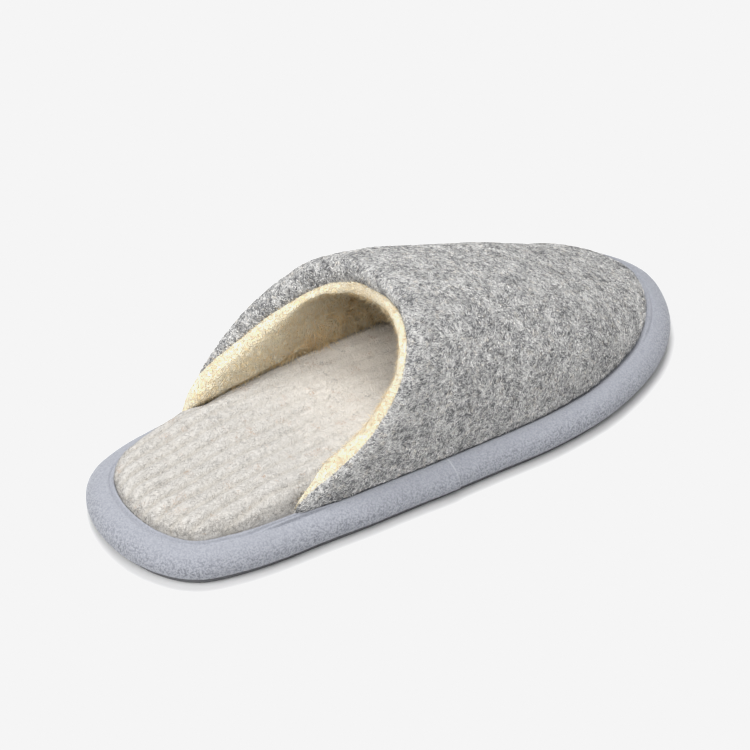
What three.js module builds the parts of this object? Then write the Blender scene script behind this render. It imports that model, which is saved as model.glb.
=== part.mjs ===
// A slip-on wool house slipper for the right foot, open at the heel.
// Sizes are millimetres. +Y points to the toe, +X to the outer side of the foot, +Z is up.
// The sole rests on z = 0 and the origin lies under the middle of the slipper.
import * as THREE from "three";

// Whole slipper
const sole_length = 270;
const ball_width = 109.8;
const instep_height = 60.4;
const middle_shift = -3;
const end_roundness = 0.97;
const gap = 0.3;

// Outsole
const outsole_thickness = 2.5;
const outsole_inset = 3.4;
const outsole_edge_bevel = 0.5;
const toe_spring = 2.5;
const toe_spring_start = 0.78;

// Platform and its padded rim
const rim_width = 10.7;
const rim_upper_rise = 6.9;
const rim_lower_rise = 3.2;
const rim_lower_tuck = 3;
const pocket_depth = 5.9;
const pocket_clearance = 0.3;
const lap_from_heel = 0.433;
const lap_thickness = 0.8;
const lap_fade = 26;
const lap_edge = 0.7;

// Ribbed footbed
const footbed_shoulder = 10;
const shoulder_fullness = 2.3;
const arch_start = 0.35;
const arch_reach = 1.2;
const footbed_corner = 0.8;
const margin_under_upper = 3.1;
const margin_start = 0.165;
const margin_end = 0.205;
const rib_count = 15;
const rib_depth = 1;
const rib_fade = 9;

// Felt upper
const felt_wall = 3;
const rolled_rim_depth = 14;
const rolled_rim_radius = 4.2;
const ridge_offset = -8;
const toe_closing_start = 0.7;
const toe_closing_round = 1.35;
const least_slant = 0.45;

// How finely the surfaces are divided
const outline_steps = 76;
const rim_steps = 6;
const tuck_steps = 3;
const steps_per_rib = 4;
const seam_samples = 900;
const arch_steps = 42;
const arch_crowding = 0.8;
const length_steps = 22;
const roll_steps = 6;

// Sole outline. at: share of the length from the heel. half: half the breadth before the ends
// are rounded, and lean: how far the middle moves outwards, both as shares of the ball width.
const outline_table = [
  { at: 0, half: 0.79, lean: -0.004 },
  { at: 0.03, half: 0.742, lean: -0.004 },
  { at: 0.1, half: 0.606, lean: -0.004 },
  { at: 0.2, half: 0.505, lean: 0.006 },
  { at: 0.3, half: 0.474, lean: 0.013 },
  { at: 0.4, half: 0.467, lean: 0.019 },
  { at: 0.5, half: 0.479, lean: 0.025 },
  { at: 0.6, half: 0.508, lean: 0.03 },
  { at: 0.7, half: 0.543, lean: 0.024 },
  { at: 0.8, half: 0.579, lean: 0.001 },
  { at: 0.9, half: 0.65, lean: -0.045 },
  { at: 0.97, half: 0.665, lean: -0.057 },
  { at: 1, half: 0.59, lean: -0.035 },
];

// Sections of the upper. at: share of the seam's length from the heel. crown: height over the
// seam as a share of the instep height. fullness: 2 is an ellipse, more is boxier. overhang:
// how far the felt swells out over the rim, as a share of the rim width.
const section_table = [
  { at: 0, crown: 1.1, fullness: 3.1, overhang: 0.1 },
  { at: 0.2, crown: 1.07, fullness: 3, overhang: 0.18 },
  { at: 0.45, crown: 0.96, fullness: 2.75, overhang: 0.22 },
  { at: 0.62, crown: 0.76, fullness: 2.45, overhang: 0.14 },
  { at: 0.8, crown: 0.52, fullness: 2.1, overhang: 0.05 },
  { at: 1, crown: 0.3, fullness: 1.75, overhang: 0 },
];

// Collar line. at: share of the way over the foot, from the outer side to the inner side.
// from_heel: share of the length. roll: thickness of the rolled edge.
const collar_table = [
  { at: 0, from_heel: 0.206, roll: 3 },
  { at: 0.025, from_heel: 0.269, roll: 3.6 },
  { at: 0.06, from_heel: 0.321, roll: 4.3 },
  { at: 0.12, from_heel: 0.362, roll: 5 },
  { at: 0.2, from_heel: 0.394, roll: 5.5 },
  { at: 0.35, from_heel: 0.427, roll: 7 },
  { at: 0.5, from_heel: 0.438, roll: 9.5 },
  { at: 0.62, from_heel: 0.417, roll: 11 },
  { at: 0.74, from_heel: 0.369, roll: 10.5 },
  { at: 0.86, from_heel: 0.296, roll: 8.5 },
  { at: 0.95, from_heel: 0.233, roll: 6.5 },
  { at: 1, from_heel: 0.207, roll: 4 },
];

// Height of the footbed over its rim. at: share of the length from the heel. arch: how much
// higher it is under the arch of the foot, on the inner side.
const footbed_table = [
  { at: 0, puff: 7.4, arch: 0 },
  { at: 0.12, puff: 8.2, arch: 1 },
  { at: 0.22, puff: 9, arch: 3.6 },
  { at: 0.4, puff: 8.6, arch: 3.4 },
  { at: 0.5, puff: 7, arch: 2.4 },
  { at: 0.62, puff: 5.2, arch: 1 },
  { at: 0.8, puff: 4.4, arch: 0 },
  { at: 1, puff: 3.8, arch: 0 },
];

// Heights that follow from the sizes above
const heel_y = -sole_length / 2;
const platform_bottom = outsole_thickness + gap;
const rim_widest_z = platform_bottom + rim_lower_rise;
const seam_z = rim_widest_z + rim_upper_rise;
const pocket_floor_z = seam_z - pocket_depth;
const foot_z = seam_z + gap;

function limit(value, low, high) {
  return Math.min(Math.max(value, low), high);
}

function mix(a, b, share) {
  return a + (b - a) * share;
}

function ease(value) {
  const q = limit(value, 0, 1);
  return q * q * (3 - 2 * q);
}

// The value of one column of a table, on a smooth line through its rows.
function smooth(rows, column, at) {
  const last = rows.length - 1;
  const place = limit(at, rows[0].at, rows[last].at);
  let i = 0;
  while (i < last - 1 && place > rows[i + 1].at) i += 1;
  const slope = (k) => {
    const a = rows[Math.max(k - 1, 0)];
    const b = rows[Math.min(k + 1, last)];
    return (b[column] - a[column]) / (b.at - a.at);
  };
  const width = rows[i + 1].at - rows[i].at;
  const q = (place - rows[i].at) / width;
  const blend = q * q * (3 - 2 * q);
  const bend_start = q * (1 - q) * (1 - q) * width * slope(i);
  const bend_end = q * q * (q - 1) * width * slope(i + 1);
  return mix(rows[i][column], rows[i + 1][column], blend) + bend_start + bend_end;
}

// A point of the sole outline. The turn runs from 0 at the heel over the outer side to pi at
// the toe, and back to the heel over the inner side.
function outlinePoint(turn) {
  const share = (1 - Math.cos(turn)) / 2;
  const swing = Math.sin(turn);
  const middle = middle_shift + ball_width * smooth(outline_table, "lean", share);
  const half = ball_width * smooth(outline_table, "half", share);
  const x = middle + Math.sign(swing) * half * Math.abs(swing) ** end_roundness;
  return [x, heel_y + sole_length * share];
}

// The same point, moved square to the outline by an inset.
function insetPoint(turn, inset) {
  const step = 0.001;
  const [x, y] = outlinePoint(turn);
  const [ax, ay] = outlinePoint(turn - step);
  const [bx, by] = outlinePoint(turn + step);
  const run = Math.hypot(bx - ax, by - ay);
  return [x - (inset * (by - ay)) / run, y + (inset * (bx - ax)) / run];
}

function spring(y) {
  const share = (y - heel_y) / sole_length;
  const q = limit((share - toe_spring_start) / (1 - toe_spring_start), 0, 1);
  return toe_spring * q * q;
}

// Gathers points and triangles of one closed skin.
class Skin {
  constructor() {
    this.points = [];
    this.faces = [];
  }

  point(x, y, z) {
    this.points.push(x, y, z + spring(y));
    return this.points.length / 3 - 1;
  }

  triangle(a, b, c) {
    if (a !== b && b !== c && c !== a) this.faces.push(a, b, c);
  }

  // Joins two lines of points with the same count.
  strip(low, high) {
    for (let i = 0; i + 1 < low.length; i += 1) {
      this.triangle(low[i], low[i + 1], high[i + 1]);
      this.triangle(low[i], high[i + 1], high[i]);
    }
  }

  // Joins two closed rings with the same count.
  band(low, high) {
    this.strip([...low, low[0]], [...high, high[0]]);
  }

  // Closes a ring with strips from its outer side to its inner side.
  cap(ring, faces_up) {
    const half = ring.length / 2;
    for (let i = 0; i < half; i += 1) {
      const a = ring[i];
      const b = ring[i + 1];
      const c = ring[ring.length - i - 1];
      const d = ring[(ring.length - i) % ring.length];
      if (faces_up) {
        this.triangle(a, b, c);
        this.triangle(a, c, d);
      } else {
        this.triangle(a, c, b);
        this.triangle(a, d, c);
      }
    }
  }

  mesh(name, colour, roughness) {
    const geometry = new THREE.BufferGeometry();
    geometry.setAttribute("position", new THREE.Float32BufferAttribute(this.points, 3));
    geometry.setIndex(this.faces);
    geometry.computeVertexNormals();
    const material = new THREE.MeshStandardMaterial({ color: colour, roughness, metalness: 0 });
    const mesh = new THREE.Mesh(geometry, material);
    mesh.name = name;
    return mesh;
  }
}

// Turns of the outline's points, the same on both sides, with a close pair at the rim's lap.
const lap_y = heel_y + sole_length * lap_from_heel;
const lap_turn = Math.acos(1 - 2 * lap_from_heel);
const lap_half_turn = lap_edge / sole_length;

function outlineTurns(with_lap) {
  const side = [];
  for (let i = 1; i < outline_steps / 2; i += 1) side.push((2 * Math.PI * i) / outline_steps);
  const lap = with_lap ? [lap_turn - lap_half_turn, lap_turn + lap_half_turn] : [];
  const near_lap = (turn) => with_lap && Math.abs(turn - lap_turn) < 3 * lap_half_turn;
  const outer = [...side.filter((turn) => !near_lap(turn)), ...lap].sort((a, b) => a - b);
  const inner = outer.map((turn) => 2 * Math.PI - turn).reverse();
  return [0, ...outer, Math.PI, ...inner];
}

function ring(skin, turns, inset, z) {
  return turns.map((turn) => skin.point(...insetPoint(turn, inset), z));
}

function makeOutsole() {
  const skin = new Skin();
  const turns = outlineTurns(false);
  const bevel = outsole_edge_bevel;
  const profile = [
    [outsole_inset + bevel, 0],
    [outsole_inset, bevel],
    [outsole_inset, outsole_thickness - bevel],
    [outsole_inset + bevel, outsole_thickness],
  ];
  const rings = profile.map(([inset, z]) => ring(skin, turns, inset, z));
  skin.cap(rings[0], false);
  rings.slice(1).forEach((high, i) => skin.band(rings[i], high));
  skin.cap(rings[rings.length - 1], true);
  return skin.mesh("outsole", 0x4a4b50, 0.85);
}

// The rim's covering is one strip whose end laps over its start on the outer side: towards the
// heel the top layer stands out, and it thins away from the lap's edge.
function lapStep(turn, lift_share) {
  if (turn > Math.PI || turn > lap_turn) return 0;
  const [, y] = outlinePoint(turn);
  return lap_thickness * lift_share * (1 - ease((lap_y - y) / lap_fade));
}

function makePlatform() {
  const skin = new Skin();
  const turns = outlineTurns(true);
  const rimRing = (inset, z, lift_share) =>
    turns.map((turn) => {
      const outwards = lapStep(turn, lift_share);
      return skin.point(...insetPoint(turn, inset - outwards), z);
    });
  const rings = [];
  for (let i = 0; i <= tuck_steps; i += 1) {
    const angle = (Math.PI / 2) * (1 - i / tuck_steps);
    const inset = rim_lower_tuck * (1 - Math.cos(angle));
    const z = rim_widest_z - rim_lower_rise * Math.sin(angle);
    rings.push(rimRing(inset, z, i / tuck_steps));
  }
  for (let i = 1; i <= rim_steps; i += 1) {
    const angle = ((Math.PI / 2) * i) / rim_steps;
    const inset = rim_width * (1 - Math.cos(angle));
    const z = rim_widest_z + rim_upper_rise * Math.sin(angle);
    rings.push(rimRing(inset, z, Math.cos(angle)));
  }
  rings.push(ring(skin, turns, rim_width, pocket_floor_z));
  skin.cap(rings[0], false);
  rings.slice(1).forEach((high, i) => skin.band(rings[i], high));
  skin.cap(rings[rings.length - 1], true);
  return skin.mesh("platform", 0xa9aebd, 0.95);
}

// The shortest way from a point to a closed line of points.
function edgeDistance([x, y], line) {
  let least = Infinity;
  line.forEach(([ax, ay], i) => {
    const [bx, by] = line[(i + 1) % line.length];
    const run = (bx - ax) ** 2 + (by - ay) ** 2;
    const q = limit(((x - ax) * (bx - ax) + (y - ay) * (by - ay)) / run, 0, 1);
    least = Math.min(least, Math.hypot(x - mix(ax, bx, q), y - mix(ay, by, q)));
  });
  return least;
}

// Height of the footbed over its rim: a soft shoulder, then ribs that run from heel to toe.
function footbedRise(across, from_edge, share) {
  const covered = ease((share - margin_start) / (margin_end - margin_start));
  const inwards = from_edge - margin_under_upper * covered;
  const q = limit(inwards / footbed_shoulder, 0, 1);
  const arch = smooth(footbed_table, "arch", share) * ease((arch_start - across) / arch_reach);
  const height = smooth(footbed_table, "puff", share) + arch;
  const puff = height * (1 - (1 - q) ** shoulder_fullness) ** (1 / shoulder_fullness);
  const wave = Math.abs(Math.cos((Math.PI * rib_count * across) / 2));
  return puff - rib_depth * (1 - wave) * ease(inwards / rib_fade);
}

function makeFootbed() {
  const skin = new Skin();
  const turns = outlineTurns(false);
  const inset = rim_width + pocket_clearance;
  const bottom = ring(skin, turns, inset, pocket_floor_z + gap);
  const side = ring(skin, turns, inset, seam_z - footbed_corner);
  const top = ring(skin, turns, inset + footbed_corner, seam_z);
  skin.cap(bottom, false);
  skin.band(bottom, side);
  skin.band(side, top);
  const columns = rib_count * steps_per_rib;
  const edge = turns.map((turn) => insetPoint(turn, inset + footbed_corner));
  const lines = [];
  for (let i = 0; i <= turns.length / 2; i += 1) {
    const outer = insetPoint(turns[i], inset + footbed_corner);
    const inner = insetPoint(2 * Math.PI - turns[i], inset + footbed_corner);
    const outer_index = top[i];
    const inner_index = top[(turns.length - i) % turns.length];
    const share = (1 - Math.cos(turns[i])) / 2;
    const line = [];
    for (let j = 0; j <= columns; j += 1) {
      const q = j / columns;
      if (j === 0 || outer_index === inner_index) line.push(outer_index);
      else if (j === columns) line.push(inner_index);
      else {
        const place = [mix(outer[0], inner[0], q), mix(outer[1], inner[1], q)];
        const rise = footbedRise(1 - 2 * q, edgeDistance(place, edge), share);
        line.push(skin.point(...place, seam_z + rise));
      }
    }
    lines.push(line);
  }
  lines.slice(1).forEach((line, i) => skin.strip(line, lines[i]));
  return skin.mesh("footbed", 0xd8d3c9, 1);
}

// The seam between rim and felt, as two lines from heel to toe: outer side and inner side.
function seamLines(inset) {
  const sides = [[], []];
  for (let i = 0; i <= seam_samples; i += 1) {
    const turn = (Math.PI * i) / seam_samples;
    [turn, 2 * Math.PI - turn].forEach((at, side) => {
      const [x, y] = insetPoint(at, inset);
      const line = sides[side];
      if (!line.length || y > line[line.length - 1].at) line.push({ at: y, x });
    });
  }
  return sides;
}

// The x of a seam line at a y.
function seamX(line, y) {
  let low = 0;
  let high = line.length - 1;
  while (high - low > 1) {
    const middle = (low + high) >> 1;
    if (line[middle].at > y) high = middle;
    else low = middle;
  }
  const share = limit((y - line[low].at) / (line[high].at - line[low].at), 0, 1);
  return mix(line[low].x, line[high].x, share);
}

const outside_seam = seamLines(rim_width);
const inside_seam = seamLines(rim_width + felt_wall);
const seam_heel_y = Math.max(outside_seam[0][0].at, outside_seam[1][0].at);

function toeEnd(lines) {
  return Math.min(lines[0][lines[0].length - 1].at, lines[1][lines[1].length - 1].at);
}

const outside_toe_y = toeEnd(outside_seam);
const inside_toe_y = toeEnd(inside_seam);

// A point of the felt: y along the foot, arch from 0 on the outer side over the foot to pi on
// the inner side, and depth below the felt's outside.
function feltPoint(y, arch, depth) {
  const into_wall = limit(depth / felt_wall, 0, 1);
  const past_wall = Math.max(depth - felt_wall, 0);
  const toe_y = mix(outside_toe_y, inside_toe_y, into_wall);
  const share = limit((y - seam_heel_y) / (outside_toe_y - seam_heel_y), 0, 1);
  const own_share = limit((y - seam_heel_y) / (toe_y - seam_heel_y), 0, 1);
  const closing = limit((own_share - toe_closing_start) / (1 - toe_closing_start), 0, 1);
  const shut = Math.sqrt(1 - closing ** toe_closing_round);
  const crown = (instep_height * smooth(section_table, "crown", share) - depth) * shut;
  const fullness = smooth(section_table, "fullness", share);
  const over = rim_width * smooth(section_table, "overhang", share);
  const edges = [0, 1].map((side) => {
    const x = mix(seamX(outside_seam[side], y), seamX(inside_seam[side], y), into_wall);
    return side === 0 ? x + over - past_wall : x - over + past_wall;
  });
  const ridge = (edges[0] + edges[1]) / 2 + ridge_offset * (1 - share);
  const across = Math.cos(arch);
  const half = across >= 0 ? edges[0] - ridge : ridge - edges[1];
  const x = ridge + Math.sign(across) * half * Math.abs(across) ** (2 / fullness);
  const z = foot_z + crown * Math.abs(Math.sin(arch)) ** (2 / fullness);
  return [x, y, z];
}

function collarY(arch) {
  return heel_y + sole_length * smooth(collar_table, "from_heel", arch / Math.PI);
}

// How much of a step along the foot leads straight away from the collar's edge.
function collarSlant(arch) {
  const step = 0.01;
  const a = limit(arch - step, 0, Math.PI);
  const b = limit(arch + step, 0, Math.PI);
  const from = feltPoint(collarY(a), a, 0);
  const to = feltPoint(collarY(b), b, 0);
  const run = Math.hypot(to[0] - from[0], to[1] - from[1], to[2] - from[2]);
  const lengthwise = (to[1] - from[1]) / run;
  return Math.max(Math.sqrt(1 - lengthwise * lengthwise), least_slant);
}

// One closed skin: outside from toe to collar, over the rolled edge, inside back to the toe, and
// a flat foot all round that stands on the rim and the footbed's margin.
function makeUpper() {
  const skin = new Skin();
  const arches = [];
  for (let i = 0; i <= arch_steps; i += 1) {
    const q = i / arch_steps;
    arches.push(Math.PI * q - (arch_crowding / 2) * Math.sin(2 * Math.PI * q));
  }
  const edge = arches.map((arch) => {
    const slant = collarSlant(arch);
    const thickness = smooth(collar_table, "roll", arch / Math.PI);
    return { arch, slant, thickness, y: collarY(arch), start: rolled_rim_radius / slant };
  });
  const outside_toe = skin.point(...feltPoint(outside_toe_y, 0, 0));
  const inside_toe = skin.point(...feltPoint(inside_toe_y, 0, felt_wall));
  const rows = [];
  for (let i = length_steps; i >= 0; i -= 1) {
    const q = Math.sin((Math.PI / 2) * (i / length_steps));
    rows.push(
      edge.map(({ arch, y, start }) =>
        i === length_steps
          ? outside_toe
          : skin.point(...feltPoint(mix(y + start, outside_toe_y, q), arch, 0)),
      ),
    );
  }
  for (let i = 1; i < roll_steps; i += 1) {
    const roll = (Math.PI * i) / roll_steps;
    rows.push(
      edge.map(({ arch, y, start, thickness }) => {
        const depth = (thickness * (1 - Math.cos(roll))) / 2;
        return skin.point(...feltPoint(y + start * (1 - Math.sin(roll)), arch, depth));
      }),
    );
  }
  for (let i = 0; i <= length_steps; i += 1) {
    const q = Math.sin((Math.PI / 2) * (i / length_steps));
    rows.push(
      edge.map(({ arch, y, start, slant, thickness }) => {
        const place = mix(y + start, inside_toe_y, q);
        const rolled = 1 - ease(((place - y - start) * slant) / rolled_rim_depth);
        const depth = mix(felt_wall, thickness, rolled);
        return i === length_steps ? inside_toe : skin.point(...feltPoint(place, arch, depth));
      }),
    );
  }
  rows.slice(1).forEach((row, i) => skin.strip(rows[i], row));
  const outer_side = rows.map((row) => row[0]);
  const inner_side = rows.map((row) => row[row.length - 1]);
  closeFoot(skin, outer_side, true);
  closeFoot(skin, inner_side, false);
  return skin.mesh("upper", 0x9b9b9c, 1);
}

// The flat foot along one side, between the outside and the inside of the felt.
function closeFoot(skin, line, turned) {
  const last = line.length - 1;
  const half = Math.floor(last / 2);
  for (let i = 0; i < half; i += 1) {
    const a = line[i];
    const b = line[i + 1];
    const c = line[last - i - 1];
    const d = line[last - i];
    if (turned) {
      skin.triangle(a, b, c);
      skin.triangle(a, c, d);
    } else {
      skin.triangle(a, c, b);
      skin.triangle(a, d, c);
    }
  }
}

const slipper = new THREE.Group();
slipper.name = "wool_slipper";
slipper.add(makeOutsole(), makePlatform(), makeFootbed(), makeUpper());

export default slipper;
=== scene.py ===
"""The wool slipper as it looks: felt upper, pile lining, ribbed footbed, padded rim and outsole.

Shapes are worked out in millimetres, in the part's frame, and turned into metres at the end.
"""

import math

import bmesh
import bpy
import numpy as np
from mathutils import Matrix, Vector, noise


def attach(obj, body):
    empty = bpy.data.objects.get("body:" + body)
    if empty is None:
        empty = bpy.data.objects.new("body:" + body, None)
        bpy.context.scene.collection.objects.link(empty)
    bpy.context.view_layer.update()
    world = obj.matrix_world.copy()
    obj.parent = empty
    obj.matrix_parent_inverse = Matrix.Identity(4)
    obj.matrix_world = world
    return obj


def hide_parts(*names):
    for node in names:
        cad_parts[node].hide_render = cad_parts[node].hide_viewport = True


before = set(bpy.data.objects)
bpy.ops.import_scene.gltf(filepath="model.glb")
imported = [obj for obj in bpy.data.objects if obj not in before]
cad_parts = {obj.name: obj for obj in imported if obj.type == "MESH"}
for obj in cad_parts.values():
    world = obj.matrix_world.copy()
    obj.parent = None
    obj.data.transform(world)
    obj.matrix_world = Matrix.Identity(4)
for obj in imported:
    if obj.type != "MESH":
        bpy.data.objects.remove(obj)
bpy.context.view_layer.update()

MM = 0.001

# Sizes of the slipper in millimetres or as shares, the same as the part's where the part has them
SOLE_LENGTH = 270.0
BALL_WIDTH = 109.8
INSTEP_HEIGHT = 60.4
MIDDLE_SHIFT = -3.0
END_ROUNDNESS = 0.97
GAP = 0.3
OUTSOLE_THICKNESS = 2.5
OUTSOLE_INSET = 3.4
OUTSOLE_BEVEL = 0.5
TOE_SPRING = 2.5
TOE_SPRING_START = 0.78
RIM_WIDTH = 10.7
RIM_UPPER_RISE = 6.9
RIM_LOWER_RISE = 3.2
RIM_LOWER_TUCK = 3.0
POCKET_DEPTH = 5.9
LAP_FROM_HEEL = 0.433
LAP_THICKNESS = 0.8
LAP_FADE = 26.0
FOOTBED_SHOULDER = 10.0
MARGIN_UNDER_UPPER = 3.1
MARGIN_START = 0.165
MARGIN_END = 0.205
MARGIN_DELAY = 0.02
SHOULDER_FULLNESS = 2.3
ARCH_START = 0.35
ARCH_REACH = 1.2
RIB_PITCH = 6.0
RIB_MIDDLE = -1.0
RIB_DEPTH = 1.0
FELT_WALL = 3.0
ROLLED_RIM_DEPTH = 14.0
ROLLED_RIM_RADIUS = 4.2
RIDGE_OFFSET = -8.0
TOE_CLOSING_START = 0.7
TOE_CLOSING_ROUND = 1.35
LEAST_SLANT = 0.45

OUTLINE = {
    "at": [0, 0.03, 0.1, 0.2, 0.3, 0.4, 0.5, 0.6, 0.7, 0.8, 0.9, 0.97, 1],
    "half": [0.79, 0.742, 0.606, 0.505, 0.474, 0.467, 0.479, 0.508, 0.543, 0.579, 0.65, 0.665, 0.59],
    "lean": [-0.004, -0.004, -0.004, 0.006, 0.013, 0.019, 0.025, 0.03, 0.024, 0.001, -0.045, -0.057, -0.035],
}
SECTIONS = {
    "at": [0, 0.2, 0.45, 0.62, 0.8, 1],
    "crown": [1.1, 1.07, 0.96, 0.76, 0.52, 0.3],
    "fullness": [3.1, 3, 2.75, 2.45, 2.1, 1.75],
    "overhang": [0.1, 0.18, 0.22, 0.14, 0.05, 0],
}
COLLAR = {
    "at": [0, 0.025, 0.06, 0.12, 0.2, 0.35, 0.5, 0.62, 0.74, 0.86, 0.95, 1],
    "from_heel": [0.206, 0.269, 0.321, 0.362, 0.394, 0.427, 0.438, 0.417, 0.369, 0.296, 0.233, 0.207],
    "roll": [3, 3.6, 4.3, 5, 5.5, 7, 9.5, 11, 10.5, 8.5, 6.5, 4],
}
FOOTBED = {
    "at": [0, 0.12, 0.22, 0.4, 0.5, 0.62, 0.8, 1],
    "puff": [7.4, 8.2, 9, 8.6, 7, 5.2, 4.4, 3.8],
    "arch": [0, 1, 3.6, 3.4, 2.4, 1, 0, 0],
}

HEEL_Y = -SOLE_LENGTH / 2
RIM_WIDEST_Z = OUTSOLE_THICKNESS + GAP + RIM_LOWER_RISE
SEAM_Z = RIM_WIDEST_Z + RIM_UPPER_RISE
POCKET_FLOOR_Z = SEAM_Z - POCKET_DEPTH
FOOT_Z = SEAM_Z + GAP


# Shape of the slipper
def mix(a, b, share):
    return a + (b - a) * share


def ease(value):
    q = np.clip(value, 0, 1)
    return q * q * (3 - 2 * q)


def smooth(table, column, at):
    """The value of one column of a table, on a smooth line through its rows."""
    places, values = np.array(table["at"], float), np.array(table[column], float)
    at = np.clip(at, places[0], places[-1])
    i = np.clip(np.searchsorted(places, at, side="right") - 1, 0, len(places) - 2)
    row = np.arange(len(places))
    before, after = np.maximum(row - 1, 0), np.minimum(row + 1, len(places) - 1)
    slope = (values[after] - values[before]) / (places[after] - places[before])
    width = places[i + 1] - places[i]
    q = (at - places[i]) / width
    bend = q * (1 - q) ** 2 * width * slope[i] + q * q * (q - 1) * width * slope[i + 1]
    return mix(values[i], values[i + 1], q * q * (3 - 2 * q)) + bend


def outline_point(turn):
    """x and y of the sole's outline: turn 0 is the heel, pi the toe, past pi the inner side."""
    share, swing = (1 - np.cos(turn)) / 2, np.sin(turn)
    middle = MIDDLE_SHIFT + BALL_WIDTH * smooth(OUTLINE, "lean", share)
    half = BALL_WIDTH * smooth(OUTLINE, "half", share)
    return middle + np.sign(swing) * half * np.abs(swing) ** END_ROUNDNESS, HEEL_Y + SOLE_LENGTH * share


def inset_point(turn, inset):
    """The same point, moved square to the outline by an inset."""
    step = 0.001
    x, y = outline_point(turn)
    ax, ay = outline_point(turn - step)
    bx, by = outline_point(turn + step)
    run = np.hypot(bx - ax, by - ay)
    return x - inset * (by - ay) / run, y + inset * (bx - ax) / run


def spring(y):
    q = np.clip(((y - HEEL_Y) / SOLE_LENGTH - TOE_SPRING_START) / (1 - TOE_SPRING_START), 0, 1)
    return TOE_SPRING * q * q


def seam_line(inset, inner_side):
    """y and x of the seam on one side, from heel to toe."""
    turn = np.linspace(0, math.pi, 901)
    x, y = inset_point(2 * math.pi - turn if inner_side else turn, inset)
    keep = np.concatenate([[True], y[1:] > np.maximum.accumulate(y)[:-1]])
    return y[keep], x[keep]


OUTSIDE_SEAM = [seam_line(RIM_WIDTH, side) for side in (False, True)]
INSIDE_SEAM = [seam_line(RIM_WIDTH + FELT_WALL, side) for side in (False, True)]
SEAM_HEEL_Y = max(line[0][0] for line in OUTSIDE_SEAM)
OUTSIDE_TOE_Y = min(line[0][-1] for line in OUTSIDE_SEAM)
INSIDE_TOE_Y = min(line[0][-1] for line in INSIDE_SEAM)


def felt_point(y, arch, depth):
    """A point of the upper: y along the foot, arch over the foot, depth below the felt's outside."""
    y, arch, depth = np.broadcast_arrays(*(np.asarray(v, float) for v in (y, arch, depth)))
    into_wall = np.clip(depth / FELT_WALL, 0, 1)
    past_wall = np.maximum(depth - FELT_WALL, 0)
    toe_y = mix(OUTSIDE_TOE_Y, INSIDE_TOE_Y, into_wall)
    share = np.clip((y - SEAM_HEEL_Y) / (OUTSIDE_TOE_Y - SEAM_HEEL_Y), 0, 1)
    own_share = np.clip((y - SEAM_HEEL_Y) / (toe_y - SEAM_HEEL_Y), 0, 1)
    closing = np.clip((own_share - TOE_CLOSING_START) / (1 - TOE_CLOSING_START), 0, 1)
    shut = np.sqrt(1 - closing**TOE_CLOSING_ROUND)
    crown = (INSTEP_HEIGHT * smooth(SECTIONS, "crown", share) - depth) * shut
    fullness = smooth(SECTIONS, "fullness", share)
    over = RIM_WIDTH * smooth(SECTIONS, "overhang", share)
    outer, inner = (
        mix(np.interp(y, *OUTSIDE_SEAM[side]), np.interp(y, *INSIDE_SEAM[side]), into_wall)
        + (over - past_wall) * (1, -1)[side]
        for side in (0, 1)
    )
    ridge = (outer + inner) / 2 + RIDGE_OFFSET * (1 - share)
    across = np.cos(arch)
    half = np.where(across >= 0, outer - ridge, ridge - inner)
    x = ridge + np.sign(across) * half * np.abs(across) ** (2 / fullness)
    z = FOOT_Z + crown * np.abs(np.sin(arch)) ** (2 / fullness)
    return np.stack([x, y, z], -1)


def collar_y(arch):
    return HEEL_Y + SOLE_LENGTH * smooth(COLLAR, "from_heel", arch / math.pi)


def collar_slant(arch):
    """How much of a step along the foot leads straight away from the collar's edge."""
    a, b = np.clip(arch - 0.01, 0, math.pi), np.clip(arch + 0.01, 0, math.pi)
    way = felt_point(collar_y(b), b, 0) - felt_point(collar_y(a), a, 0)
    lengthwise = way[..., 1] / np.linalg.norm(way, axis=-1)
    return np.maximum(np.sqrt(1 - lengthwise**2), LEAST_SLANT)


def footbed_height(share, across):
    """How far the footbed stands over its rim, with the rise under the arch of the foot."""
    arch = smooth(FOOTBED, "arch", share) * ease((ARCH_START - across) / ARCH_REACH)
    return smooth(FOOTBED, "puff", share) + arch


# Meshes
def hump(value, middle, width):
    """A soft hump of height 1 round its middle."""
    return np.exp(-(((value - middle) / width) ** 2))


def past(value, start, run):
    """0 up to the start, and 1 from the end of the run."""
    return ease((value - start) / run)


def relief(points, size, seed, octaves=1):
    """Smooth noise from about -1 to 1 at each point, with lumps of one size in millimetres."""
    flat = points.reshape(-1, 3) / size + seed
    if octaves == 1:
        values = [noise.noise(p) for p in flat.tolist()]
    else:
        values = [noise.fractal(p, 1.0, 2.0, octaves) for p in flat.tolist()]
    return np.array(values).reshape(points.shape[:-1])


def layered_relief(points, layers):
    """Layers of smooth noise, each given as the size of its lumps, its seed and its depth."""
    return sum(relief(points, size, seed) * depth for size, seed, depth in layers)


def grid_normals(points, closed_columns=False):
    """Unit normals of a grid: the way from row to row crossed with the way from column to column."""
    if closed_columns:
        across = np.roll(points, -1, axis=1) - np.roll(points, 1, axis=1)
    else:
        across = np.gradient(points, axis=1)
    normal = np.cross(np.gradient(points, axis=0), across)
    return normal / np.maximum(np.linalg.norm(normal, axis=-1, keepdims=True), 1e-9)


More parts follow.
